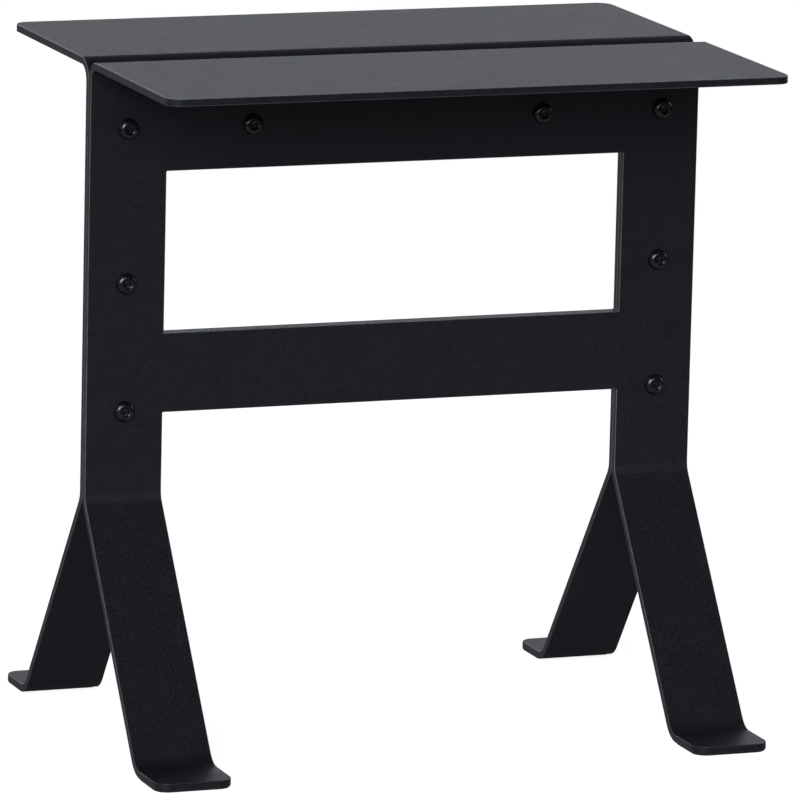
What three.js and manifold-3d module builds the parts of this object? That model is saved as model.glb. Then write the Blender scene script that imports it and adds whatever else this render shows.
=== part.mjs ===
// A small steel side table. Two identical bent sheet-metal panels stand back to back and are bolted
// together through their webs. Each panel gives half of the table top, half of the upright frame and
// two splayed legs with feet. All sizes are in millimetres.
//
// The frame: +X runs along the table's width, +Y towards the side with the nuts, +Z up. The origin is
// on the floor under the middle of the table.

import * as THREE from "three";
import { mergeVertices } from "three/addons/utils/BufferGeometryUtils.js";
import Module from "manifold-3d";

// Driving dimensions of the whole table.
const WIDTH = 426;
const DEPTH = 323;
const HEIGHT = 450;

// The sheet, and the inside radii of its bends: under the top, and at both ends of the legs.
const SHEET = 5;
const TOP_BEND_INSIDE = 10;
const LEG_BEND_INSIDE = 15;

// The upright frame that each web makes: two stiles and a rail of one strap width, under a solid top band.
const STRAP = 52.8;
const WINDOW_TOP = 375.7;
const RAIL_TOP = 268.3;

// The legs leave the upright at the splay height and lean outwards by the splay angle.
const SPLAY_HEIGHT = 158;
const SPLAY_ANGLE = THREE.MathUtils.degToRad(36.3);
const FOOT_REACH = DEPTH / 2;

// Corner radius, seen from above, of the table top and the feet.
const CORNER = 10;

// Thin pads that cover the feet almost to their edges.
const PAD_THICKNESS = 1;
const PAD_INSET = 0.5;
const PAD_LENGTH = 36;
const PAD_CORNER = 9.5;
const PAD_INNER_CORNER = 2;

// M8 screws: two outer columns of three, and two more in the top band.
const OUTER_COLUMN = 187;
const INNER_COLUMN = 101.5;
const TOP_ROW = 404.5;
const MIDDLE_ROW = 302.5;
const BOTTOM_ROW = 217.5;
const HOLE_DIAMETER = 9;

const SCREW = {
  shank: 7.9,
  length: 20,
  head: 14,
  headHeight: 4.4,
  headFlat: 7.6,
  headRim: 0.5,
  socketAcrossFlats: 5,
  socketDepth: 3,
  tipChamfer: 0.8,
};
const WASHER = { hole: 8.4, outside: 16, thickness: 1.6 };
const CAP_NUT = {
  acrossFlats: 13,
  hexHeight: 6.5,
  dome: 12.5,
  height: 15,
  bore: 8.2,
  boreDepth: 11,
};

// How finely the round shapes are divided.
const ROUND_SIDES = 20;
const ARC_STEPS = 4;
const DOME_STEPS = 3;

// How far a cutting tool stands out of the surface that it cuts.
const OVERSHOOT = 5;

// Vertices closer than this are one vertex.
const MERGE_DISTANCE = 1e-4;

const stileInside = WIDTH / 2 - STRAP;
const railBottom = RAIL_TOP - STRAP;
const sheetBottom = PAD_THICKNESS;

const wasm = await Module();
wasm.setup();

// Joining and cutting.

function solid(geometry) {
  const bare = geometry.clone();
  bare.deleteAttribute("normal");
  bare.deleteAttribute("uv");
  const merged = mergeVertices(bare, MERGE_DISTANCE);
  return new wasm.Manifold(
    new wasm.Mesh({
      numProp: 3,
      vertProperties: merged.attributes.position.array,
      triVerts: new Uint32Array(merged.index.array),
    }),
  );
}

function geometryOf(manifold) {
  const mesh = manifold.getMesh();
  const geometry = new THREE.BufferGeometry();
  geometry.setAttribute("position", new THREE.BufferAttribute(mesh.vertProperties, 3));
  geometry.setIndex(new THREE.BufferAttribute(mesh.triVerts, 1));
  geometry.computeVertexNormals();
  return geometry;
}

// Outlines and prisms.

// A closed outline through corners of the form [x, y, radius], with each corner rounded by its radius.
function roundedShape(corners) {
  const shape = new THREE.Shape();
  corners.forEach(([x, y, radius], i) => {
    const corner = new THREE.Vector2(x, y);
    const before = new THREE.Vector2(...corners.at(i - 1).slice(0, 2));
    const after = new THREE.Vector2(...corners[(i + 1) % corners.length].slice(0, 2));
    const incoming = corner.clone().sub(before).normalize();
    const outgoing = after.sub(corner).normalize();
    const turn = Math.atan2(incoming.cross(outgoing), incoming.dot(outgoing));
    const tangent = radius * Math.tan(Math.abs(turn) / 2);
    const start = corner.clone().addScaledVector(incoming, -tangent);
    if (i === 0) shape.moveTo(start.x, start.y);
    else shape.lineTo(start.x, start.y);
    if (radius > 0) {
      const side = Math.sign(turn);
      const toCentre = new THREE.Vector2(-incoming.y, incoming.x).multiplyScalar(side * radius);
      const centre = start.clone().add(toCentre);
      const startAngle = toCentre.clone().negate().angle();
      shape.absarc(centre.x, centre.y, radius, startAngle, startAngle + turn, side < 0);
    }
  });
  shape.closePath();
  return shape;
}

function extrude(shape, depth) {
  return new THREE.ExtrudeGeometry(shape, {
    depth,
    bevelEnabled: false,
    curveSegments: ARC_STEPS,
  });
}

// A side outline in (Y, Z), stretched across the width in X.
function acrossWidth(shape, width) {
  const toWidth = new THREE.Matrix4().makeBasis(
    new THREE.Vector3(0, 1, 0),
    new THREE.Vector3(0, 0, 1),
    new THREE.Vector3(1, 0, 0),
  );
  return extrude(shape, width).translate(0, 0, -width / 2).applyMatrix4(toWidth);
}

function box(xRange, yRange, zRange) {
  const sizes = [xRange, yRange, zRange].map(([low, high]) => high - low);
  const middles = [xRange, yRange, zRange].map(([low, high]) => (low + high) / 2);
  return new THREE.BoxGeometry(...sizes).translate(...middles);
}

// The bent panels.

// The corners of the sheet's outside face from the table's edge over the top, down the back of the
// web, down the leg and along under the foot.
function outsideFace() {
  const legDrop = SPLAY_HEIGHT - sheetBottom;
  return [
    new THREE.Vector2(-DEPTH / 2, HEIGHT),
    new THREE.Vector2(0, HEIGHT),
    new THREE.Vector2(0, SPLAY_HEIGHT),
    new THREE.Vector2(-legDrop * Math.tan(SPLAY_ANGLE), sheetBottom),
    new THREE.Vector2(-FOOT_REACH, sheetBottom),
  ];
}

// The same corners moved through the sheet to its inside face.
function insideFace(outside) {
  const inwards = outside.slice(1).map((point, i) => {
    const along = point.clone().sub(outside[i]).normalize();
    return new THREE.Vector2(along.y, -along.x);
  });
  return outside.map((point, i) => {
    const before = inwards[Math.max(i - 1, 0)];
    const after = inwards[Math.min(i, inwards.length - 1)];
    const reach = SHEET / (1 + before.dot(after));
    return point.clone().addScaledVector(before.clone().add(after), reach);
  });
}

function sheetOutline() {
  const outside = outsideFace();
  const inside = insideFace(outside).reverse();
  const bends = [TOP_BEND_INSIDE, LEG_BEND_INSIDE, LEG_BEND_INSIDE];
  const rounded = (face, radii) => face.map(({ x, y }, i) => [x, y, radii[i]]);
  return roundedShape([
    ...rounded(outside, [0, ...bends.map((radius) => radius + SHEET), 0]),
    ...rounded(inside, [0, ...bends.toReversed(), 0]),
  ]);
}

// A cutter that rounds the upright edge at (x, y). The material lies on the side of the edge
// that xSide and ySide (1 or -1) point to.
function edgeRounder(x, y, xSide, ySide, zRange) {
  const cutter = new THREE.Shape();
  cutter.moveTo(-OVERSHOOT, -OVERSHOOT);
  cutter.lineTo(CORNER, -OVERSHOOT);
  cutter.lineTo(CORNER, 0);
  cutter.absarc(CORNER, CORNER, CORNER, -Math.PI / 2, -Math.PI, true);
  cutter.lineTo(-OVERSHOOT, CORNER);
  cutter.closePath();
  const tool = extrude(cutter, zRange[1] - zRange[0]);
  const quarterTurns = { "1,1": 0, "-1,1": 1, "-1,-1": 2, "1,-1": 3 }[[xSide, ySide]];
  return tool.rotateZ((quarterTurns * Math.PI) / 2).translate(x, y, zRange[0]);
}

function topCornerCutters() {
  const zRange = [HEIGHT - SHEET - OVERSHOOT, HEIGHT + OVERSHOOT];
  return [-1, 1].map((side) => edgeRounder((side * WIDTH) / 2, -DEPTH / 2, -side, 1, zRange));
}

function footCornerCutters() {
  const zRange = [sheetBottom - OVERSHOOT, sheetBottom + SHEET + OVERSHOOT];
  return [-1, 1].flatMap((side) => [
    edgeRounder((side * WIDTH) / 2, -FOOT_REACH, -side, 1, zRange),
    edgeRounder(side * stileInside, -FOOT_REACH, side, 1, zRange),
  ]);
}

function boltPlaces() {
  const rows = [
    { z: TOP_ROW, columns: [-OUTER_COLUMN, -INNER_COLUMN, INNER_COLUMN, OUTER_COLUMN] },
    { z: MIDDLE_ROW, columns: [-OUTER_COLUMN, OUTER_COLUMN] },
    { z: BOTTOM_ROW, columns: [-OUTER_COLUMN, OUTER_COLUMN] },
  ];
  return rows.flatMap(({ z, columns }) => columns.map((x) => ({ x, z })));
}

function boltHoleCutters() {
  const radius = HOLE_DIAMETER / 2;
  const length = 2 * (SHEET + OVERSHOOT);
  return boltPlaces().map(({ x, z }) =>
    new THREE.CylinderGeometry(radius, radius, length, ROUND_SIDES).translate(x, 0, z),
  );
}

// One panel, with the back of its web on the plane Y = 0 and its top and legs reaching towards -Y.
function panelGeometry() {
  const opening = [-stileInside, stileInside];
  const window = box(opening, [-SHEET - OVERSHOOT, OVERSHOOT], [RAIL_TOP, WINDOW_TOP]);
  const betweenLegs = box(opening, [-DEPTH, OVERSHOOT], [-OVERSHOOT, railBottom]);
  const cutters = [
    window,
    betweenLegs,
    ...topCornerCutters(),
    ...footCornerCutters(),
    ...boltHoleCutters(),
  ];
  const bent = solid(acrossWidth(sheetOutline(), WIDTH));
  return geometryOf(cutters.reduce((panel, cutter) => panel.subtract(solid(cutter)), bent));
}

// The fasteners. Each is made around the Y axis, with the front face of the joint at Y = 0.

function revolve(profile) {
  const points = profile.map(([radius, y]) => new THREE.Vector2(radius, y));
  return new THREE.LatheGeometry(points, ROUND_SIDES);
}

function hexagon(acrossFlats, height) {
  const radius = acrossFlats / 2 / Math.cos(Math.PI / 6);
  return new THREE.CylinderGeometry(radius, radius, height, 6);
}

// The head's dome in (radius, height over the seat): an arc from the rim to the flat around the socket.
function domeProfile() {
  const rise = SCREW.headHeight - SCREW.headRim;
  const run = (SCREW.head - SCREW.headFlat) / 2;
  return Array.from({ length: DOME_STEPS + 1 }, (_, i) => {
    const angle = (i / DOME_STEPS) * (Math.PI / 2);
    return [
      SCREW.headFlat / 2 + run * Math.cos(angle),
      SCREW.headRim + rise * Math.sin(angle),
    ];
  });
}

function screwGeometry() {
  const shank = SCREW.shank / 2;
  const dome = domeProfile().map(([radius, height]) => [radius, -height]);
  const body = revolve([
    [0, -SCREW.headHeight],
    ...dome.reverse(),
    [SCREW.head / 2, 0],
    [shank, 0],
    [shank, SCREW.length - SCREW.tipChamfer],
    [shank - SCREW.tipChamfer, SCREW.length],
    [0, SCREW.length],
  ]);
  const socket = hexagon(SCREW.socketAcrossFlats, SCREW.socketDepth + OVERSHOOT);
  const mouth = -SCREW.headHeight - OVERSHOOT;
  socket.translate(0, mouth + (SCREW.socketDepth + OVERSHOOT) / 2, 0);
  return geometryOf(solid(body).subtract(solid(socket)));
}

function washerGeometry() {
  const { hole, outside, thickness } = WASHER;
  return revolve([
    [hole / 2, 0],
    [outside / 2, 0],
    [outside / 2, thickness],
    [hole / 2, thickness],
    [hole / 2, 0],
  ]);
}

function capNutGeometry() {
  const { acrossFlats, hexHeight, dome, height, bore, boreDepth } = CAP_NUT;
  const radius = dome / 2;
  const shoulder = height - radius;
  const cap = Array.from({ length: DOME_STEPS + 1 }, (_, i) => {
    const angle = (i / DOME_STEPS) * (Math.PI / 2);
    return [radius * Math.cos(angle), shoulder + radius * Math.sin(angle)];
  });
  cap[DOME_STEPS][0] = 0;
  const hex = solid(hexagon(acrossFlats, hexHeight).translate(0, hexHeight / 2, 0));
  const domed = solid(revolve([[0, 0], [radius, 0], ...cap]));
  const hole = new THREE.CylinderGeometry(bore / 2, bore / 2, boreDepth + OVERSHOOT, ROUND_SIDES);
  hole.translate(0, (boreDepth - OVERSHOOT) / 2, 0);
  return geometryOf(hex.add(domed).subtract(solid(hole)));
}

// A pad under a front foot, with its upper face at Z = 0 and its outer end towards -Y.
function padGeometry() {
  const halfWidth = STRAP / 2 - PAD_INSET;
  const corners = [
    [-halfWidth, -PAD_LENGTH / 2, PAD_CORNER],
    [halfWidth, -PAD_LENGTH / 2, PAD_CORNER],
    [halfWidth, PAD_LENGTH / 2, PAD_INNER_CORNER],
    [-halfWidth, PAD_LENGTH / 2, PAD_INNER_CORNER],
  ];
  return extrude(roundedShape(corners), PAD_THICKNESS).translate(0, 0, -PAD_THICKNESS);
}

// Materials.

function powderCoat() {
  return new THREE.MeshStandardMaterial({ color: 0x212427, roughness: 0.5, metalness: 0 });
}

function blackenedSteel() {
  return new THREE.MeshStandardMaterial({ color: 0x17181a, roughness: 0.3, metalness: 0.8 });
}

function rubber() {
  return new THREE.MeshStandardMaterial({ color: 0x101010, roughness: 0.9, metalness: 0 });
}

// Assembly.

function piece(name, geometry, material, x = 0, y = 0, z = 0) {
  const mesh = new THREE.Mesh(geometry, material);
  mesh.name = name;
  mesh.position.set(x, y, z);
  return mesh;
}

function panels() {
  const group = new THREE.Group();
  const geometry = panelGeometry();
  const front = piece("front_panel", geometry, powderCoat());
  const rear = piece("rear_panel", geometry, powderCoat());
  rear.rotation.z = Math.PI;
  group.add(front, rear);
  return group;
}

function fasteners() {
  const group = new THREE.Group();
  boltPlaces().forEach(({ x, z }, i) => {
    const number = i + 1;
    const nutSeat = SHEET + WASHER.thickness;
    group.add(piece(`screw_${number}`, screwGeometry(), blackenedSteel(), x, -SHEET, z));
    group.add(piece(`washer_${number}`, washerGeometry(), blackenedSteel(), x, SHEET, z));
    group.add(piece(`cap_nut_${number}`, capNutGeometry(), blackenedSteel(), x, nutSeat, z));
  });
  return group;
}

function footPads() {
  const group = new THREE.Group();
  const x = WIDTH / 2 - STRAP / 2;
  const y = FOOT_REACH - PAD_INSET - PAD_LENGTH / 2;
  const places = { front_left: [-x, -y], front_right: [x, -y], rear_left: [-x, y], rear_right: [x, y] };
  for (const [corner, [padX, padY]] of Object.entries(places)) {
    const pad = piece(`foot_pad_${corner}`, padGeometry(), rubber(), padX, padY, PAD_THICKNESS);
    pad.rotation.z = padY > 0 ? Math.PI : 0;
    group.add(pad);
  }
  return group;
}

const table = new THREE.Group();
table.add(panels(), fasteners(), footPads());

export default table;
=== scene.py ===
# A small black steel side table of two bent sheets bolted back to back. Lengths are in metres.
import math
from collections import namedtuple

import bmesh
import bpy
from mathutils import Matrix, Vector


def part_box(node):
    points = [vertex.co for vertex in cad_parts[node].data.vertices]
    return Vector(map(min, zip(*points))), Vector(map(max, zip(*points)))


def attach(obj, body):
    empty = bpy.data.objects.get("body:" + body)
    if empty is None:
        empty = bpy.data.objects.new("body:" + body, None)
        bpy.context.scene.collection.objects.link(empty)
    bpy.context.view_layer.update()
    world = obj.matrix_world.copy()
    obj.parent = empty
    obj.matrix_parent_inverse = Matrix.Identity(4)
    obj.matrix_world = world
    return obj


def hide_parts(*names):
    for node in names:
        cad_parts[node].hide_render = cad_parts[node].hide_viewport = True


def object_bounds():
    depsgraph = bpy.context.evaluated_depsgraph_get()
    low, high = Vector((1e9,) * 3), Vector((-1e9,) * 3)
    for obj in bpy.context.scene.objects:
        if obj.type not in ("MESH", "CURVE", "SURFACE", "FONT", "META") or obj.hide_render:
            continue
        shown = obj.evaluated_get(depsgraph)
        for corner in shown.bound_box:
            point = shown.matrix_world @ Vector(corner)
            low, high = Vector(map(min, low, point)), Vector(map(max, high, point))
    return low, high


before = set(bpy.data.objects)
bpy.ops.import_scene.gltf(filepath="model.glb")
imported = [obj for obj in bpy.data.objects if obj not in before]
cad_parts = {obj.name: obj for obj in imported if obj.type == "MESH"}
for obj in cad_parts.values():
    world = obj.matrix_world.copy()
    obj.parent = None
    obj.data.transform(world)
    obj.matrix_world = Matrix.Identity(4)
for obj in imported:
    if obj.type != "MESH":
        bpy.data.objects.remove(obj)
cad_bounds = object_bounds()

MM = 0.001
BODY = "root"

# The bent sheet. Its outer size comes from the frame; these are the sizes inside it. The bend radii
# are those of the sheet's outside face.
SHEET = 5 * MM
TOP_BEND = 15 * MM
LEG_BEND = 20 * MM
STRAP = 52.8 * MM
WINDOW_TOP = 375.7 * MM
RAIL_TOP = 268.3 * MM
SPLAY_HEIGHT = 158 * MM
SPLAY_ANGLE = math.radians(36.3)
OUTER_CORNER = 10 * MM
WINDOW_CORNER = 0.8 * MM
HOLE_RADIUS = 4.5 * MM

# The radii of the rounded edges, and the width of the strip beside an edge where its gloss and its
# painted highlight fade.
SHEET_EDGE = 0.35 * MM
HOLE_EDGE = 0.3 * MM
EDGE_BAND = 0.3 * MM

# How finely the shapes are divided. The bend, edge and dome steps are those of a quarter turn.
BEND_STEPS = 20
CORNER_STEPS = 10
EDGE_STEPS = 4
SCREW_DOME_STEPS = 12
NUT_DOME_STEPS = 14
NUT_CHAMFER_STEPS = 6
THREAD_STEPS = 6
ROUND_SIDES = 72
ROUND_ANGLES = [math.tau * i / ROUND_SIDES for i in range(ROUND_SIDES)]

# Faces that meet at more than this angle, in degrees, keep a sharp edge between them.
FASTENER_SHARPNESS = 32
PAD_SHARPNESS = 40

# Distances under which two places are taken as one.
SAME_PLACE = 1e-9
CUT_TOLERANCE = 1e-7


# Rounded outlines in a plane.


class Outline:
    """Closed outline of points and outward normals. Material lies on the left of its direction."""

    def __init__(self):
        self.points = []
        self.normals = []

    def add(self, point, normal):
        self.points.append(Vector(point))
        self.normals.append(Vector(normal))

    def inset(self, distance):
        return [p - n * distance for p, n in zip(self.points, self.normals)]


def turned(vector, angle):
    """A vector in the plane, turned by an angle."""
    return Vector((
        vector.x * math.cos(angle) - vector.y * math.sin(angle),
        vector.x * math.sin(angle) + vector.y * math.cos(angle),
    ))


def rounded_outline(corners):
    """An outline through (point, radius) corners, each rounded by its radius."""
    outline = Outline()
    for i, (corner, radius) in enumerate(corners):
        corner = Vector(corner)
        incoming = (corner - Vector(corners[i - 1][0])).normalized()
        outgoing = (Vector(corners[(i + 1) % len(corners)][0]) - corner).normalized()
        turn = math.atan2(incoming.cross(outgoing), incoming.dot(outgoing))
        side = math.copysign(1, turn)
        start = corner - incoming * radius * math.tan(abs(turn) / 2)
        to_centre = Vector((-incoming.y, incoming.x)) * side
        centre = start + to_centre * radius
        for step in range(CORNER_STEPS + 1):
            spoke = turned(-to_centre, turn * step / CORNER_STEPS)
            outline.add(centre + spoke * radius, spoke * side)
    return outline


def circle_hole(centre, radius):
    """A round hole's outline, which runs clockwise so that the material is on its left."""
    outline = Outline()
    for angle in ROUND_ANGLES:
        spoke = Vector((math.cos(angle), -math.sin(angle)))
        outline.add(Vector(centre) + spoke * radius, -spoke)
    return outline


# Joining points into meshes.


def join_rings(bm, rings):
    """Fills the surface between each ring of points and the next."""
    count = len(rings[0])
    for lower, upper in zip(rings, rings[1:]):
        for i in range(count):
            j = (i + 1) % count
            bm.faces.new((lower[i], lower[j], upper[j], upper[i]))


def smooth_mesh(name, bm, sharpness=None):
    """The finished mesh, shaded smooth except across edges sharper than a number of degrees."""
    mesh = bpy.data.meshes.new(name)
    bm.to_mesh(mesh)
    bm.free()
    mesh.polygons.foreach_set("use_smooth", [True] * len(mesh.polygons))
    if sharpness is not None:
        mesh.set_sharp_from_angle(angle=math.radians(sharpness))
    return mesh


# The bent panels. Each is made flat, in (x, s, t): across the width, along the developed outside
# face from the table's edge to the toe, and through the sheet. It is then folded.

# A straight of the sheet from its place s along the sheet, and the bend that follows it.
Stretch = namedtuple("Stretch", "s straight start along turn radius")


class Fold:
    """The path of the sheet's outside face in (depth, height), as straights joined by bends."""

    def __init__(self, depth, top, bottom):
        leg_drop = SPLAY_HEIGHT - bottom
        corners = [
            Vector((-depth, top)),
            Vector((0, top)),
            Vector((0, SPLAY_HEIGHT)),
            Vector((-leg_drop * math.tan(SPLAY_ANGLE), bottom)),
            Vector((-depth, bottom)),
        ]
        bends = [
            (math.pi / 2, TOP_BEND),
            (SPLAY_ANGLE, LEG_BEND),
            (math.pi / 2 - SPLAY_ANGLE, LEG_BEND),
            (0, 0),
        ]
        self.stretches = []
        s = 0
        setback_before = 0
        for corner, following, (turn, radius) in zip(corners, corners[1:], bends):
            along = (following - corner).normalized()
            setback = radius * math.tan(turn / 2)
            straight = (following - corner).length - setback_before - setback
            start = corner + along * setback_before
            self.stretches.append(Stretch(s, straight, start, along, turn, radius))
            s += straight + radius * turn
            setback_before = setback
        self.length = s

    def at_height(self, height):
        """Where along the sheet its upright web is at this height."""
        web = self.stretches[1]
        return web.s + web.start.y - height

    def bend_cuts(self):
        """The places along the sheet where it is divided so that it can bend."""
        for bend in self.stretches[:-1]:
            steps = round(BEND_STEPS * bend.turn / (math.pi / 2))
            for step in range(steps + 1):
                yield bend.s + bend.straight + bend.radius * bend.turn * step / steps

    def place(self, s, t, flat_normal):
        """The folded (depth, height) and normal of a point at s, t whose flat normal is given."""
        stretch = [item for item in self.stretches if s >= item.s - SAME_PLACE][-1]
        along, radius = stretch.along, stretch.radius
        inwards = Vector((along.y, -along.x))
        past = s - stretch.s - stretch.straight
        if past <= 0 or not stretch.turn:
            point = stretch.start + along * (s - stretch.s) + inwards * t
            return point, along * flat_normal.y + inwards * flat_normal.z
        centre = stretch.start + along * stretch.straight + inwards * radius
        bent_along = turned(along, -past / radius)
        bent_inwards = turned(inwards, -past / radius)
        point = centre - bent_inwards * (radius - t)
        return point, bent_along * flat_normal.y + bent_inwards * flat_normal.z


def edge_profile(radius):
    """The rounded edge of the sheet, as (inset, t, outward share, share through the sheet, gloss).
    The gloss is 1 round the edge and fades to 0 over the bands beside it."""
    rows = []
    for base, way in ((0, -1), (SHEET, 1)):
        quarter = [(radius + EDGE_BAND, base, 0, way, 0)]
        for step in range(EDGE_STEPS + 1):
            angle = math.pi / 2 * step / EDGE_STEPS
            out, through = math.sin(angle), math.cos(angle)
            t = base - way * radius * (1 - through)
            quarter.append((radius * (1 - out), t, out, way * through, 1))
        quarter.append((0, base - way * (radius + EDGE_BAND), 1, 0, 0))
        rows.append(quarter)
    return rows[0] + rows[1][::-1]


def flat_panel(outlines):
    """A flat sheet with rounded edges, bounded by (outline, edge radius) pairs, and the layer that
    holds its normals."""
    bm = bmesh.new()
    normal_layer = bm.verts.layers.float_vector.new("flat_normal")
    gloss_layer = bm.verts.layers.float.new("edge_gloss")
    rims = ([], [])
    for outline, radius in outlines:
        rings = []
        for inset, t, out, through, gloss in edge_profile(radius):
            ring = []
            for point, normal in zip(outline.inset(inset), outline.normals):
                vert = bm.verts.new((point.x, point.y, t))
                vert[normal_layer] = (normal.x * out, normal.y * out, through)
                vert[gloss_layer] = gloss
                ring.append(vert)
            rings.append(ring)
        join_rings(bm, rings)
        for rim, ring in zip(rims, (rings[0], rings[-1])):
            rim.extend(bm.edges.get(ends) for ends in zip(ring, ring[1:] + ring[:1]))
    for rim, way in zip(rims, (-1, 1)):
        bmesh.ops.triangle_fill(bm, use_beauty=True, edges=rim, normal=(0, 0, way))
    return bm, normal_layer


def panel_outlines(fold, half_width, holes):
    """The developed panel's outline, its window and its screw holes, with their edge radii."""
    inside = half_width - STRAP
    end = fold.length
    rail_bottom = fold.at_height(RAIL_TOP - STRAP)
    window_start = fold.at_height(WINDOW_TOP)
    window_end = fold.at_height(RAIL_TOP)
    outer = rounded_outline([
        ((-half_width, 0), OUTER_CORNER),
        ((half_width, 0), OUTER_CORNER),
        ((half_width, end), OUTER_CORNER),
        ((inside, end), OUTER_CORNER),
        ((inside, rail_bottom), WINDOW_CORNER),
        ((-inside, rail_bottom), WINDOW_CORNER),
        ((-inside, end), OUTER_CORNER),
        ((-half_width, end), OUTER_CORNER),
    ])
    window = rounded_outline([
        ((-inside, window_start), WINDOW_CORNER),
        ((-inside, window_end), WINDOW_CORNER),
        ((inside, window_end), WINDOW_CORNER),
        ((inside, window_start), WINDOW_CORNER),
    ])
    round_holes = [circle_hole((x, fold.at_height(z)), HOLE_RADIUS) for x, z in holes]
    return [(outer, SHEET_EDGE), (window, SHEET_EDGE)] + [(hole, HOLE_EDGE) for hole in round_holes]


def cut_along_bends(bm, fold):
    for s in fold.bend_cuts():
        bmesh.ops.bisect_plane(
            bm,
            geom=bm.verts[:] + bm.edges[:] + bm.faces[:],
            dist=CUT_TOLERANCE,
            plane_co=(0, s, 0),
            plane_no=(0, 1, 0),
        )


def panel_mesh(name, node, holes, facing):
    """One bent panel. facing is 1 for the front panel and -1 for the rear one, turned half round."""
    low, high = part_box(node)
    fold = Fold(high.y - low.y, high.z, low.z)
    bm, normal_layer = flat_panel(panel_outlines(fold, high.x, holes))
    cut_along_bends(bm, fold)
    normals = []
    for vert in bm.verts:
        x, s, t = vert.co
        flat_normal = vert[normal_layer]
        point, normal = fold.place(s, t, flat_normal)
        vert.co = (facing * x, facing * point.x, point.y)
        normals.append(Vector((facing * flat_normal.x, facing * normal.x, normal.y)).normalized())
    bm.verts.layers.float_vector.remove(normal_layer)
    bmesh.ops.recalc_face_normals(bm, faces=bm.faces)
    mesh = smooth_mesh(name, bm)
    mesh.normals_split_custom_set_from_vertices(normals)
    return mesh


# Round and hexagonal pieces: rings round an axis along Y, joined in order. A ring is a pair of its
# radius and its height along the axis. The radius is one number, or a list with one number for
# each of the ROUND_ANGLES.


def hexagon(across_flats):
    """The radii of a hexagonal ring."""
    sixth = math.pi / 3
    apothem = across_flats / 2
    return [apothem / math.cos((a + sixth / 2) % sixth - sixth / 2) for a in ROUND_ANGLES]


def at_least(radii, limit):
    return [max(radius, limit) for radius in radii]


def at_most(radii, limit):
    return [min(radius, limit) for radius in radii]


def ring_mesh(name, rings, origin, closed=False):
    """The surface through rings round an axis that runs along +Y from the origin. A closed set of
    rings joins its last ring to its first; otherwise both ends are filled."""
    bm = bmesh.new()
    x, y, z = origin
    loops = []
    for radii, height in rings:
        if not isinstance(radii, list):
            radii = [radii] * ROUND_SIDES
        loops.append([
            bm.verts.new((x + radius * math.cos(angle), y + height, z + radius * math.sin(angle)))
            for radius, angle in zip(radii, ROUND_ANGLES)
        ])
    if closed:
        join_rings(bm, loops + loops[:1])
    else:
        join_rings(bm, loops)
        bm.faces.new(loops[0][::-1])
        bm.faces.new(loops[-1])
    bmesh.ops.recalc_face_normals(bm, faces=bm.faces)
    return smooth_mesh(name, bm, FASTENER_SHARPNESS)


# The screws. Heights run from under the head towards the tip, so the head is below zero. The
# socket's mouth is widened by a cone over the depths given.
SCREW_HEAD_HEIGHT = 4.4 * MM
SCREW_HEAD_FLAT = 3.8 * MM
SCREW_HEAD_RIM = 0.5 * MM
SCREW_SEAT_CHAMFER = 0.2 * MM
SCREW_SOCKET = 5 * MM
SCREW_SOCKET_DEPTH = 3 * MM
SCREW_SOCKET_FLOOR = 2.3 * MM
SCREW_SOCKET_TIP = 0.2 * MM
SCREW_SOCKET_TIP_DEPTH = 0.5 * MM
SCREW_MOUTH = 3.5 * MM
SCREW_MOUTH_SLOPE = 1.2
SCREW_MOUTH_DEPTHS = (0.85 * MM, 0.7 * MM, 0.55 * MM, 0.4 * MM, 0.2 * MM, 0)
SCREW_SHANK = 3.95 * MM
SCREW_TIP_CHAMFER = 0.8 * MM
THREAD_START = 2 * MM
THREAD_PITCH = 1.25 * MM
THREAD_DEPTH = 0.65 * MM


def socket_rings():
    """The hexagon socket, from its pointed bottom up to its widened mouth."""
    sides = hexagon(SCREW_SOCKET)
    floor = SCREW_SOCKET_DEPTH - SCREW_HEAD_HEIGHT
    rings = [
        (SCREW_SOCKET_TIP, floor + SCREW_SOCKET_TIP_DEPTH),
        (SCREW_SOCKET_FLOOR, floor),
        (sides, floor),
    ]
    for depth in SCREW_MOUTH_DEPTHS:
        cone = SCREW_MOUTH - depth * SCREW_MOUTH_SLOPE
        rings.append((at_least(sides, cone), depth - SCREW_HEAD_HEIGHT))
    return rings


def head_rings(head_radius):
    """The flat round the socket, the dome, the rim and the seat."""
    rings = []
    rise = SCREW_HEAD_HEIGHT - SCREW_HEAD_RIM
    for step in range(SCREW_DOME_STEPS + 1):
        angle = math.pi / 2 * (1 - step / SCREW_DOME_STEPS)
        radius = SCREW_HEAD_FLAT + (head_radius - SCREW_HEAD_FLAT) * math.cos(angle)
        rings.append((radius, -SCREW_HEAD_RIM - rise * math.sin(angle)))
    rings.append((head_radius, -SCREW_SEAT_CHAMFER))
    rings.append((head_radius - SCREW_SEAT_CHAMFER, 0))
    return rings


def thread_radius(angle, height):
    """The radius of a screw thread's surface."""
    turn = (height / THREAD_PITCH - angle / math.tau) % 1
    return SCREW_SHANK - THREAD_DEPTH * (1 - abs(2 * turn - 1))


def shank_rings(length):
    """The threaded shank and its chamfered tip."""
    rings = [(SCREW_SHANK, 0)]
    threaded = length - THREAD_START
    chamfer_start = length - SCREW_TIP_CHAMFER
    steps = round(threaded / THREAD_PITCH * THREAD_STEPS)
    for step in range(steps + 1):
        height = THREAD_START + threaded * step / steps
        limit = SCREW_SHANK - max(0, height - chamfer_start)
        thread = [thread_radius(angle, height) for angle in ROUND_ANGLES]
        rings.append((at_most(thread, limit), height))
    return rings


def screw_mesh(name, node):
    """A button-head screw with a hexagon socket."""
    low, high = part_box(node)
    seat = low.y + SCREW_HEAD_HEIGHT
    rings = socket_rings() + head_rings((high.x - low.x) / 2) + shank_rings(high.y - seat)
    return ring_mesh(name, rings, ((low.x + high.x) / 2, seat, (low.z + high.z) / 2))


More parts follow.
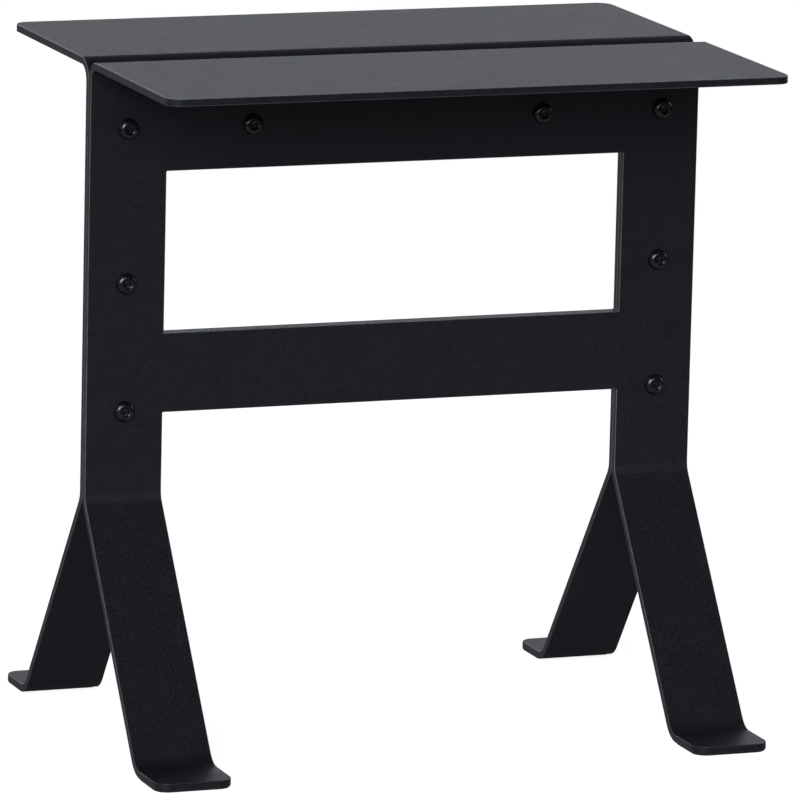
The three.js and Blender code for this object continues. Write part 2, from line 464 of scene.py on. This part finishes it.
WASHER_HOLE = 4.2 * MM
WASHER_EDGE = 0.15 * MM


def washer_mesh(name, node):
    """A flat washer with chamfered edges."""
    low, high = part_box(node)
    outside = (high.x - low.x) / 2
    thickness = high.y - low.y
    rings = [
        (WASHER_HOLE, WASHER_EDGE),
        (WASHER_HOLE + WASHER_EDGE, 0),
        (outside - WASHER_EDGE, 0),
        (outside, WASHER_EDGE),
        (outside, thickness - WASHER_EDGE),
        (outside - WASHER_EDGE, thickness),
        (WASHER_HOLE + WASHER_EDGE, thickness),
        (WASHER_HOLE, thickness - WASHER_EDGE),
    ]
    origin = ((low.x + high.x) / 2, low.y, (low.z + high.z) / 2)
    return ring_mesh(name, rings, origin, closed=True)


# The cap nuts. Heights run from the seat to the top of the dome.
NUT_HEX = 13 * MM
NUT_HEX_HEIGHT = 6.5 * MM
NUT_DOME = 6.25 * MM
NUT_CROWN = 0.15 * MM
NUT_BORE = 4.1 * MM
NUT_BORE_DEPTH = 11 * MM
NUT_BORE_CONE = 1.5 * MM
NUT_BORE_TIP = 0.2 * MM
NUT_BORE_CHAMFER = 0.4 * MM
NUT_FACE = 6.3 * MM
NUT_CHAMFER_SLOPE = math.tan(math.radians(60))


def nut_hex_rings():
    """The hexagon, with its corners chamfered at both ends."""
    sides = hexagon(NUT_HEX)
    chamfer = (NUT_HEX / math.sqrt(3) - NUT_FACE) / NUT_CHAMFER_SLOPE
    lower = []
    upper = []
    for step in range(NUT_CHAMFER_STEPS + 1):
        depth = chamfer * step / NUT_CHAMFER_STEPS
        chamfered = at_most(sides, NUT_FACE + depth * NUT_CHAMFER_SLOPE)
        lower.append((chamfered, depth))
        upper.append((chamfered, NUT_HEX_HEIGHT - depth))
    return lower + upper[::-1]


def nut_dome_rings(height):
    shoulder = height - NUT_DOME
    rings = [(NUT_DOME, NUT_HEX_HEIGHT)]
    for step in range(NUT_DOME_STEPS):
        angle = math.pi / 2 * step / NUT_DOME_STEPS
        rings.append((NUT_DOME * math.cos(angle), shoulder + NUT_DOME * math.sin(angle)))
    rings.append((NUT_CROWN, height))
    return rings


def cap_nut_mesh(name, node):
    """A domed cap nut with a blind bore."""
    low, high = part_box(node)
    bore_rings = [
        (NUT_BORE_TIP, NUT_BORE_DEPTH),
        (NUT_BORE, NUT_BORE_DEPTH - NUT_BORE_CONE),
        (NUT_BORE, NUT_BORE_CHAMFER),
        (NUT_BORE + NUT_BORE_CHAMFER, 0),
        (NUT_FACE, 0),
    ]
    rings = bore_rings + nut_hex_rings() + nut_dome_rings(high.y - low.y)
    return ring_mesh(name, rings, ((low.x + high.x) / 2, low.y, (low.z + high.z) / 2))


# The foot pads. Their outer corners follow the foot's; the edge is that of their underside.
PAD_CORNER = 9.5 * MM
PAD_INNER_CORNER = 2 * MM
PAD_EDGE = 0.8 * MM


def pad_mesh(name, node):
    """A thin pad with rounded corners and a rounded lower edge. The outer end of a front pad is
    towards -Y, and that of a rear pad is towards +Y."""
    low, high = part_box(node)
    front, rear = PAD_CORNER, PAD_INNER_CORNER
    if low.y > 0:
        front, rear = rear, front
    outline = rounded_outline([
        ((low.x, low.y), front),
        ((high.x, low.y), front),
        ((high.x, high.y), rear),
        ((low.x, high.y), rear),
    ])
    bm = bmesh.new()
    rings = []
    for step in range(EDGE_STEPS + 1):
        angle = math.pi / 2 * step / EDGE_STEPS
        inset = PAD_EDGE * (1 - math.sin(angle))
        z = low.z + PAD_EDGE * (1 - math.cos(angle))
        rings.append([bm.verts.new((p.x, p.y, z)) for p in outline.inset(inset)])
    rings.append([bm.verts.new((p.x, p.y, high.z)) for p in outline.points])
    join_rings(bm, rings)
    bm.faces.new(rings[0][::-1])
    bm.faces.new(rings[-1])
    return smooth_mesh(name, bm, PAD_SHARPNESS)


# Materials.

# The span that most of a noise's values lie in.
NOISE_SPAN = (0.3, 0.7)

# Each noise is (the size of its features, its detail). A pair without a size is the span that a
# noise is spread over.
COAT_DARK = (0.0086, 0.0098, 0.0136)
COAT_LIGHT = (0.0098, 0.0112, 0.0156)
COAT_TONES = (60 * MM, 3)
COAT_CLOUDS = (16 * MM, 4)
COAT_CLOUD_SHADES = (0.92, 1.08)
COAT_CLOUD_ROUGHNESS = (0.97, 1.03)
COAT_GRAIN = (1.5 * MM, 3)
COAT_GRAIN_SHADES = (0.6, 1.4)
COAT_GRAIN_ROUGHNESS = (0.42, 0.58)
COAT_PEEL = (2.6 * MM, 1)
COAT_PEEL_DEPTH = 0.012 * MM
COAT_FINE = (0.45 * MM, 2)
COAT_FINE_DEPTH = 0.006 * MM

# The edges' roughness, and the painted highlight on them: a paler coat colour that stands in for the
# light that the upper edges catch. The highlight grows over these spans of the edge's gloss, of how
# far the surface faces up and of the height over the floor.
EDGE_HIGHLIGHT_COLOUR = (0.21, 0.222, 0.235)
EDGE_ROUGHNESS = 0.3
HIGHLIGHT_PATCHES = (7 * MM, 3)
HIGHLIGHT_PATCH_SHARES = (0.6, 1)
HIGHLIGHT_GLOSS = (0.5, 1)
HIGHLIGHT_FACING = (-0.5, -0.1)
HIGHLIGHT_HEIGHTS = (10 * MM, 110 * MM)
HIGHLIGHT_AT_FLOOR = 0.25

STEEL_DARK = (0.004, 0.0045, 0.006)
STEEL_LIGHT = (0.008, 0.009, 0.012)
STEEL_BLOTCHES = (4 * MM, 4)
STEEL_MARKS = (1.2 * MM, 3)
STEEL_ROUGHNESS = (0.17, 0.23)
STEEL_SPECULAR = 1
STEEL_FINE = (0.5 * MM, 2)
STEEL_FINE_DEPTH = 0.002 * MM

RUBBER_DARK = (0.012, 0.012, 0.012)
RUBBER_LIGHT = (0.02, 0.02, 0.02)
RUBBER_TONES = (5 * MM, 3)
RUBBER_MARKS = (1 * MM, 2)
RUBBER_ROUGHNESS = (0.75, 0.9)
RUBBER_PEBBLES = (0.8 * MM, 3)
RUBBER_PEBBLE_DEPTH = 0.03 * MM


class Nodes:
    """A short way to write a node tree. A value that goes into a node is a number, a colour or
    another node's output."""

    def __init__(self, owner):
        owner.use_nodes = True
        self.tree = owner.node_tree

    def add(self, kind, **settings):
        node = self.tree.nodes.new(kind)
        for key, value in settings.items():
            setattr(node, key, value)
        return node

    def feed(self, socket, value):
        """Puts a value into a node's input."""
        if isinstance(value, bpy.types.NodeSocket):
            self.tree.links.new(value, socket)
        elif isinstance(value, tuple):
            socket.default_value = (*value, 1)
        else:
            socket.default_value = value

    def maths(self, operation, *values):
        node = self.add("ShaderNodeMath", operation=operation)
        for socket, value in zip(node.inputs, values):
            self.feed(socket, value)
        return node.outputs["Value"]

    def product(self, first, second):
        return self.maths("MULTIPLY", first, second)

    def ramp(self, value, span, low=0, high=1, shape="LINEAR"):
        """Maps a span of values onto low to high, and holds the ends outside it."""
        node = self.add("ShaderNodeMapRange", interpolation_type=shape)
        self.feed(node.inputs["Value"], value)
        self.feed(node.inputs["From Min"], span[0])
        self.feed(node.inputs["From Max"], span[1])
        self.feed(node.inputs["To Min"], low)
        self.feed(node.inputs["To Max"], high)
        return node.outputs["Result"]

    def mix(self, kind, share, first, second):
        """Runs from first to second as the share goes from 0 to 1. The kind is RGBA or FLOAT."""
        node = self.add("ShaderNodeMix", data_type=kind)
        self.feed(node.inputs["Factor"], share)
        self.feed(node.inputs["A"], first)
        self.feed(node.inputs["B"], second)
        return node.outputs["Result"]

    def axes(self, vector):
        node = self.add("ShaderNodeSeparateXYZ")
        self.feed(node.inputs["Vector"], vector)
        return node.outputs


class MaterialNodes(Nodes):
    """The node tree of a new material, laid out in the object's own space."""

    def __init__(self, name):
        self.material = bpy.data.materials.new(name)
        super().__init__(self.material)
        self.surface = self.tree.nodes["Principled BSDF"]

    def paint(self, name, value):
        """Sets one input of the material's surface."""
        self.feed(self.surface.inputs[name], value)

    def position(self):
        return self.add("ShaderNodeTexCoord").outputs["Object"]

    def noise(self, size, detail):
        """Smooth noise with features of about this size."""
        node = self.add("ShaderNodeTexNoise")
        self.feed(node.inputs["Scale"], 1 / size)
        self.feed(node.inputs["Detail"], detail)
        self.feed(node.inputs["Vector"], self.position())
        return node.outputs["Fac"]

    def spread(self, noise, low=0, high=1):
        """Maps a noise's usual span onto low to high."""
        return self.ramp(noise, NOISE_SPAN, low, high)

    def tones(self, noise, dark, light):
        """A colour that drifts between two tones with a noise."""
        return self.mix("RGBA", self.spread(noise), dark, light)

    def tinted(self, colour, strength):
        """A colour made lighter or darker by a strength."""
        node = self.add("ShaderNodeVectorMath", operation="SCALE")
        self.feed(node.inputs["Vector"], colour)
        self.feed(node.inputs["Scale"], strength)
        return node.outputs["Vector"]

    def upward(self):
        """How much the surface faces up: 1 on top, 0 on a wall and -1 underneath."""
        return self.axes(self.add("ShaderNodeNewGeometry").outputs["Normal"])["Z"]

    def bump(self, height, distance, below=None):
        """A surface direction roughened by a height, over the bumps below if there are any."""
        node = self.add("ShaderNodeBump")
        self.feed(node.inputs["Strength"], 1)
        self.feed(node.inputs["Distance"], distance)
        self.feed(node.inputs["Height"], height)
        if below is not None:
            self.feed(node.inputs["Normal"], below)
        return node.outputs["Normal"]


def edge_highlight_share(m, gloss):
    """How much painted highlight, a paler coat colour, lies on the edges: in patches along the edges,
    less near the floor and not at all on edges that face down."""
    patches = m.spread(m.noise(*HIGHLIGHT_PATCHES), *HIGHLIGHT_PATCH_SHARES)
    along_edges = m.product(m.ramp(gloss, HIGHLIGHT_GLOSS), patches)
    facing_up = m.ramp(m.upward(), HIGHLIGHT_FACING)
    height = m.axes(m.position())["Z"]
    off_floor = m.ramp(height, HIGHLIGHT_HEIGHTS, low=HIGHLIGHT_AT_FLOOR)
    return m.product(m.product(along_edges, facing_up), off_floor)


def powder_coat():
    """Matt black powder coat: a fine even grain over a faint orange peel, with a painted highlight in a
    paler colour along its upper edges.
    """
    m = MaterialNodes("powder_coat")
    gloss = m.add("ShaderNodeAttribute", attribute_name="edge_gloss").outputs["Fac"]
    grain = m.noise(*COAT_GRAIN)
    clouds = m.noise(*COAT_CLOUDS)
    coat = m.tones(m.noise(*COAT_TONES), COAT_DARK, COAT_LIGHT)
    shade = m.product(m.spread(grain, *COAT_GRAIN_SHADES), m.spread(clouds, *COAT_CLOUD_SHADES))
    speckled = m.tinted(coat, shade)
    # Painted highlight: the upper edges are mixed towards a paler grey that stands in for the light
    # they catch.
    m.paint("Base Color", m.mix("RGBA", edge_highlight_share(m, gloss), speckled, EDGE_HIGHLIGHT_COLOUR))
    grain_roughness = m.spread(grain, *COAT_GRAIN_ROUGHNESS)
    matt = m.product(grain_roughness, m.spread(clouds, *COAT_CLOUD_ROUGHNESS))
    m.paint("Roughness", m.mix("FLOAT", gloss, matt, EDGE_ROUGHNESS))
    peel = m.bump(m.noise(*COAT_PEEL), COAT_PEEL_DEPTH)
    m.paint("Normal", m.bump(m.noise(*COAT_FINE), COAT_FINE_DEPTH, below=peel))
    return m.material


def black_steel():
    """Blackened screw steel: dark and smoother than the sheets, with faint blotches."""
    m = MaterialNodes("black_steel")
    m.paint("Base Color", m.tones(m.noise(*STEEL_BLOTCHES), STEEL_DARK, STEEL_LIGHT))
    m.paint("Roughness", m.spread(m.noise(*STEEL_MARKS), *STEEL_ROUGHNESS))
    m.paint("Specular IOR Level", STEEL_SPECULAR)
    m.paint("Normal", m.bump(m.noise(*STEEL_FINE), STEEL_FINE_DEPTH))
    return m.material


def rubber_pad():
    """Matt black rubber with a pebbled skin."""
    m = MaterialNodes("rubber_pad")
    m.paint("Base Color", m.tones(m.noise(*RUBBER_TONES), RUBBER_DARK, RUBBER_LIGHT))
    m.paint("Roughness", m.spread(m.noise(*RUBBER_MARKS), *RUBBER_ROUGHNESS))
    m.paint("Normal", m.bump(m.noise(*RUBBER_PEBBLES), RUBBER_PEBBLE_DEPTH))
    return m.material


# Assembly.

# The fasteners of one bolt: the CAD node, the piece that replaces it and its maker.
FASTENERS = (
    ("screw", "button_screw", screw_mesh),
    ("washer", "flat_washer", washer_mesh),
    ("cap_nut", "domed_nut", cap_nut_mesh),
)


def link_object(name, data):
    """Adds an object to the scene that shows a mesh or a camera."""
    item = bpy.data.objects.new(name, data)
    bpy.context.scene.collection.objects.link(item)
    return item


def add_piece(name, mesh, material, node):
    """Puts a mesh of one material in the place of a CAD node."""
    mesh.materials.append(material)
    piece = link_object(name, mesh)
    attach(piece, BODY)
    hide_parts(node)


def build_panels(centres):
    coat = powder_coat()
    for name, node, facing in (("front_sheet", "front_panel", 1), ("rear_sheet", "rear_panel", -1)):
        holes = [(facing * centre.x, centre.z) for centre in centres]
        mesh = panel_mesh(name, node, holes, facing)
        add_piece(name, mesh, coat, node)


def build_fasteners(numbers):
    steel = black_steel()
    for number in numbers:
        for kind, title, maker in FASTENERS:
            name = f"{title}_{number}"
            node = f"{kind}_{number}"
            add_piece(name, maker(name, node), steel, node)


def build_pads():
    rubber = rubber_pad()
    for corner in ("front_left", "front_right", "rear_left", "rear_right"):
        name = f"rubber_foot_{corner}"
        node = f"foot_pad_{corner}"
        add_piece(name, pad_mesh(name, node), rubber, node)


def build_table():
    numbers = sorted(int(n.split("_")[1]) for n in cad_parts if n.startswith("screw_"))
    centres = [sum(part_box(f"screw_{n}"), Vector()) / 2 for n in numbers]
    build_panels(centres)
    build_fasteners(numbers)
    build_pads()


# Stage: floor, light and camera. The studio's soft panels are placed by azimuth, counted from the
# camera's side of the table towards the camera's right, and by elevation, both in degrees.

LIGHT_TINT = (0.96, 1.0, 1.07)
WHITE = (1, 1, 1)
ROOM_GLOW = 0.025
BACKDROP_WHITE = 1
FLOOR_GLOW = 0.9
FLOOR_GREY = (0.5, 0.5, 0.5)
FLOOR_RADIUS = 1.5
FLOOR_SIDES = 96

# Each is (azimuth, half width, softness of the sides, elevation, half height, softness of the ends,
# radiance).
SOFT_PANELS = (
    (-6, 45, 45, 19, 21, 21, 4.65),
    (-20, 16, 10, 32, 20, 10, 2.6),
    (-148, 95, 60, 0, 20, 20, 2.78),
    (180, 100, 60, 28, 38, 35, 0.15),
    (130, 46, 25, 18, 20, 20, 1.2),
)

# The camera aims at a point a little off the table's middle. The lens is in millimetres.
VIEW_YAW = math.radians(20.668)
VIEW_PITCH = math.radians(-11.468)
VIEW_ROLL = math.radians(1.348)
VIEW_DISTANCE = 5.3198
VIEW_LENS = 361.72
VIEW_RANGE = 100
VIEW_AIM = Vector((6 * MM, -4.3 * MM, -9.6 * MM))


class WorldNodes(Nodes):
    """The node tree of the studio's light."""

    def bearings(self):
        """The azimuth and elevation, in radians, of the direction that the light comes from."""
        x, y, z = self.axes(self.add("ShaderNodeTexCoord").outputs["Generated"])
        level = self.maths("SQRT", self.maths("SUBTRACT", 1, self.product(z, z)))
        azimuth = self.maths("ARCTAN2", x, self.product(y, -1))
        return self.maths("ADD", azimuth, VIEW_YAW), self.maths("ARCTAN2", z, level)

    def band(self, offset, half_width, softness):
        """1 in the middle of a band and 0 outside it, with soft sides."""
        span = (math.radians(half_width), math.radians(half_width - softness))
        return self.ramp(self.maths("ABSOLUTE", offset), span, shape="SMOOTHSTEP")

    def panel(self, bearings, panel):
        """The light of one soft panel."""
        azimuth, half_width, side_softness, elevation, half_height, end_softness, radiance = panel
        across = self.maths("SUBTRACT", bearings[0], math.radians(azimuth))
        across = self.maths("WRAP", across, math.pi, -math.pi)
        raised = self.maths("SUBTRACT", bearings[1], math.radians(elevation))
        wide = self.band(across, half_width, side_softness)
        tall = self.band(raised, half_height, end_softness)
        return self.product(self.product(wide, tall), radiance)


def build_light():
    """Soft panels round the table. The camera sees a plain white in their place."""
    world = bpy.data.worlds.new("studio")
    bpy.context.scene.world = world
    m = WorldNodes(world)
    bearings = m.bearings()
    light = 0
    for panel in SOFT_PANELS:
        light = m.maths("ADD", light, m.panel(bearings, panel))
    above_floor = m.maths("GREATER_THAN", bearings[1], 0)
    light = m.maths("ADD", m.product(light, above_floor), ROOM_GLOW)
    glow = m.tree.nodes["Background"]
    m.feed(glow.inputs["Color"], LIGHT_TINT)
    m.feed(glow.inputs["Strength"], light)
    plain = m.add("ShaderNodeBackground")
    m.feed(plain.inputs["Color"], WHITE)
    m.feed(plain.inputs["Strength"], BACKDROP_WHITE)
    seen = m.add("ShaderNodeMixShader")
    m.feed(seen.inputs["Fac"], m.add("ShaderNodeLightPath").outputs["Is Camera Ray"])
    m.feed(seen.inputs[1], glow.outputs[0])
    m.feed(seen.inputs[2], plain.outputs[0])
    m.feed(m.tree.nodes["World Output"].inputs["Surface"], seen.outputs["Shader"])
    bpy.context.scene.view_settings.view_transform = "Standard"


def floor_material():
    """A pale matt floor, to which a glow that only the camera sees is added."""
    m = MaterialNodes("floor")
    m.paint("Base Color", FLOOR_GREY)
    m.paint("Roughness", 1)
    m.paint("Specular IOR Level", 0)
    glow = m.add("ShaderNodeEmission")
    camera_only = m.add("ShaderNodeLightPath").outputs["Is Camera Ray"]
    m.feed(glow.inputs["Strength"], m.product(camera_only, FLOOR_GLOW))
    lit = m.add("ShaderNodeAddShader")
    m.feed(lit.inputs[0], m.surface.outputs[0])
    m.feed(lit.inputs[1], glow.outputs[0])
    m.feed(m.tree.nodes["Material Output"].inputs["Surface"], lit.outputs[0])
    return m.material


def build_floor():
    mesh = bpy.data.meshes.new("floor")
    angles = [math.tau * i / FLOOR_SIDES for i in range(FLOOR_SIDES)]
    rim = [(FLOOR_RADIUS * math.cos(a), FLOOR_RADIUS * math.sin(a), 0) for a in angles]
    mesh.from_pydata(rim, [], [range(FLOOR_SIDES)])
    mesh.materials.append(floor_material())
    link_object("floor", mesh)


def build_camera():
    """The camera, placed back from the point that it aims at."""
    low, high = cad_bounds
    aim = (low + high) / 2 + VIEW_AIM
    forward = Vector((
        math.sin(VIEW_YAW) * math.cos(VIEW_PITCH),
        math.cos(VIEW_YAW) * math.cos(VIEW_PITCH),
        math.sin(VIEW_PITCH),
    ))
    level = Vector((math.cos(VIEW_YAW), -math.sin(VIEW_YAW), 0))
    raised = level.cross(forward)
    right = level * math.cos(VIEW_ROLL) + raised * math.sin(VIEW_ROLL)
    up = raised * math.cos(VIEW_ROLL) - level * math.sin(VIEW_ROLL)
    place = aim - forward * VIEW_DISTANCE
    data = bpy.data.cameras.new("camera")
    data.lens = VIEW_LENS
    data.clip_end = VIEW_RANGE
    camera = link_object("camera", data)
    camera.matrix_world = Matrix((
        (right.x, up.x, -forward.x, place.x),
        (right.y, up.y, -forward.y, place.y),
        (right.z, up.z, -forward.z, place.z),
        (0, 0, 0, 1),
    ))
    bpy.context.scene.camera = camera


build_table()
build_floor()
build_light()
build_camera()
